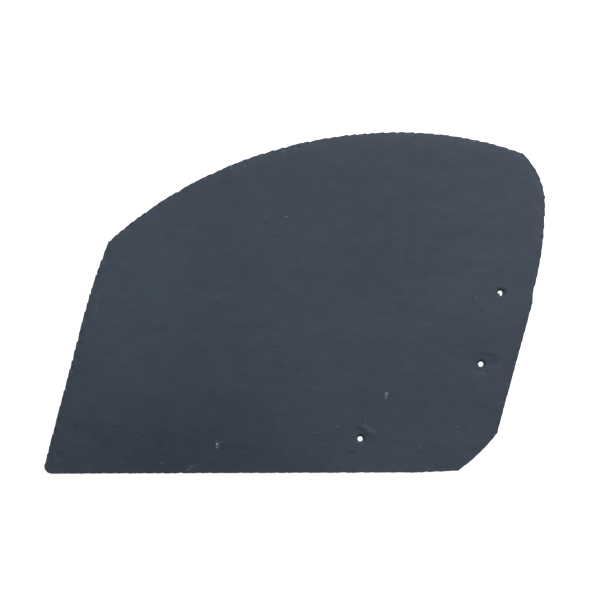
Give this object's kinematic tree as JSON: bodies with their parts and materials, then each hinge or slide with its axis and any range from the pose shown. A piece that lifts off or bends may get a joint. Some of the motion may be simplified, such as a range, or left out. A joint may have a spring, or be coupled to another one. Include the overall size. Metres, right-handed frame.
{
  "type": "slate roof tile",
  "caption": "Hand-dressed roofing slate of the old German scale pattern, with a curved back, a cut corner and punched nail holes.",
  "frame": {"origin": "middle of the outline's bounding box, on the bed face that the slate lies on", "axes": "+X along the breast from the foot towards the head, +Y from the breast towards the back, +Z out of the weather face"},
  "size_m": [0.3258, 0.2212, 0.005],
  "materials": {
    "slate": "riven, matt with a faint silky sheen"
  },
  "bodies": {
    "root": {"slate": "slate"}
  },
  "joints": []
}
